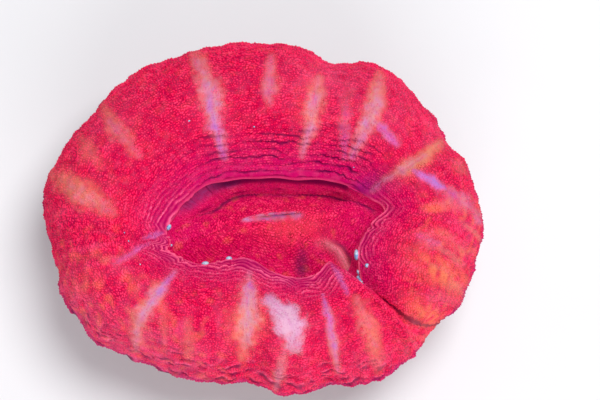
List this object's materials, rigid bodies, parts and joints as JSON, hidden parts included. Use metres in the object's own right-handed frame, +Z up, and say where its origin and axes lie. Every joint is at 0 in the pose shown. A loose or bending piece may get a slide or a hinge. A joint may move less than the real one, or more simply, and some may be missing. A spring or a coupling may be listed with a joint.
{
  "type": "open brain coral",
  "caption": "Fleshy open brain coral polyp: a swollen folded mantle round a sunken oral disc with a slit mouth, on a short ribbed stony cup cut flat underneath.",
  "frame": {"origin": "in the flat cut face, under the middle of the colony's outline", "axes": "+Z up out of the cut face, +X along the colony's long side, -Y to the front, towards the deep cleft beside the right lobe"},
  "size_m": [0.0438, 0.0356, 0.0203],
  "materials": {
    "coral_flesh": "satin"
  },
  "bodies": {
    "root": {"polyp": "coral_flesh"}
  },
  "joints": []
}
